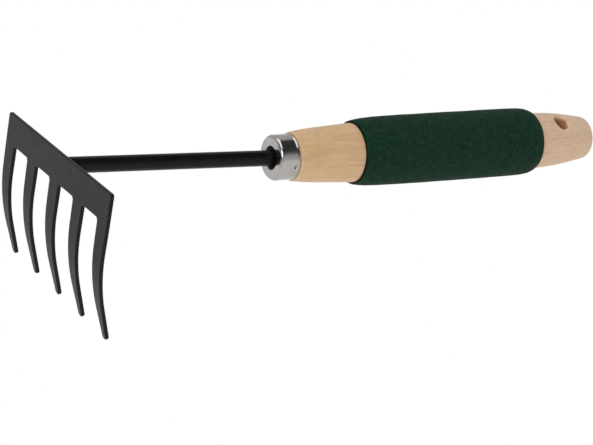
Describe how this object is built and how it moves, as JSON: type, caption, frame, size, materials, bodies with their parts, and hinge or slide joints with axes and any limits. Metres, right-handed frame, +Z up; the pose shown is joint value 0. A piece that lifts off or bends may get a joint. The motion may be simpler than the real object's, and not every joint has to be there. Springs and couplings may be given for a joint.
{
  "type": "hand rake",
  "caption": "Short hand rake: bent sheet-steel head with flat tapering tines welded to a steel rod, turned wooden handle with ferrule, foam grip sleeve and hanging hole.",
  "frame": {"origin": "bottom centre of the bounding box, with the tool resting on its tine tips and its wooden tail", "axes": "+X from the head towards the handle's tail, +Y across the head, +Z up; the tool is a mirror image of itself in Y except for the hanging hole, the ferrule's pin and the handle's swing of 0.8 degrees to one side"},
  "size_m": [0.3015, 0.1106, 0.07],
  "materials": {
    "black_paint": "satin black powder coat on steel",
    "ferrule_chrome": "polished plated steel",
    "pin_steel": "plain steel wire",
    "pale_wood": "turned, sanded and waxed pale hardwood",
    "green_foam": "soft closed-cell foam rubber with a skin"
  },
  "bodies": {
    "root": {"rake_head": "black_paint", "shaft": "black_paint", "weld_bead": "black_paint", "ferrule": "ferrule_chrome", "ferrule_pin": "pin_steel", "handle": "pale_wood", "foam_grip": "green_foam"}
  },
  "joints": []
}
